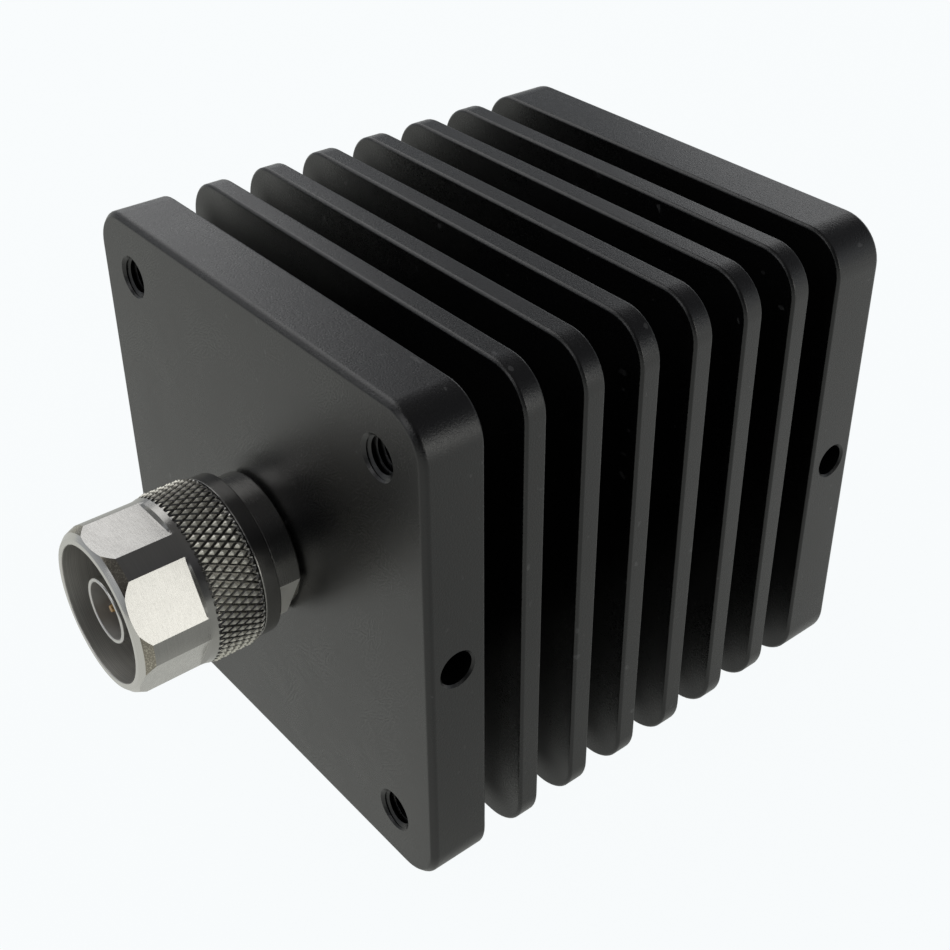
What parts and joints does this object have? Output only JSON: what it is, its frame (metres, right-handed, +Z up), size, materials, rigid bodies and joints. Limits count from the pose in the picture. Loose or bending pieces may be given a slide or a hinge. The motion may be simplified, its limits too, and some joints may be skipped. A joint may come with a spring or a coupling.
{
  "type": "coaxial attenuator",
  "caption": "Square finned heat sink round a coaxial attenuator, with a hex and knurled coupling nut on its front plug and a threaded jack behind.",
  "frame": {"origin": "on the signal axis, in the front face of the heat sink", "axes": "+Y along the signal axis from the plug to the jack, +Z up, +X towards the side with the lock screw holes"},
  "size_m": [0.065, 0.1063, 0.065],
  "materials": {
    "black_anodised": "black anodised, satin with a fine blasted grain",
    "nut_steel": "nickel-plated, flats milled with a fine cross grain, knurl bright on its ridges",
    "spring_steel": "plain spring steel",
    "plug_steel": "nickel-plated, turned",
    "jack_steel": "nickel-plated, turned",
    "contact_plating": "white bronze plated, bright",
    "seal_rubber": "silicone rubber, matt",
    "bead_plastic": "white fluoroplastic",
    "gold_plating": "gold plated",
    "black_screw": "black oxide",
    "holder_copper": "bare copper",
    "flange_copper": "nickel-plated copper",
    "ceramic": "white ceramic",
    "silver_ribbon": "silver plated"
  },
  "bodies": {
    "attenuator": {"heat_sink": "black_anodised", "nut_snap_ring": "spring_steel", "plug_body": "plug_steel", "plug_outer_contact": "contact_plating", "plug_gasket": "seal_rubber", "plug_bead": "bead_plastic", "plug_center_pin": "gold_plating", "plug_lock_screw": "black_screw", "jack_body": "jack_steel", "jack_bead": "bead_plastic", "jack_center_contact": "gold_plating", "jack_lock_screw": "black_screw", "chip_carrier": "holder_copper", "carrier_cover": "holder_copper", "chip_flange": "flange_copper", "resistor_chip": "ceramic", "chip_lid": "ceramic", "input_lead": "silver_ribbon", "output_lead": "silver_ribbon"},
    "coupling_nut": {"coupling_nut": "nut_steel"}
  },
  "joints": [
    {"name": "coupling_nut_spin", "type": "hinge", "parent": "attenuator", "child": "coupling_nut", "pos_m": [0, -0.01255, 0], "axis": [0, -1, 0], "continuous": true}
  ]
}
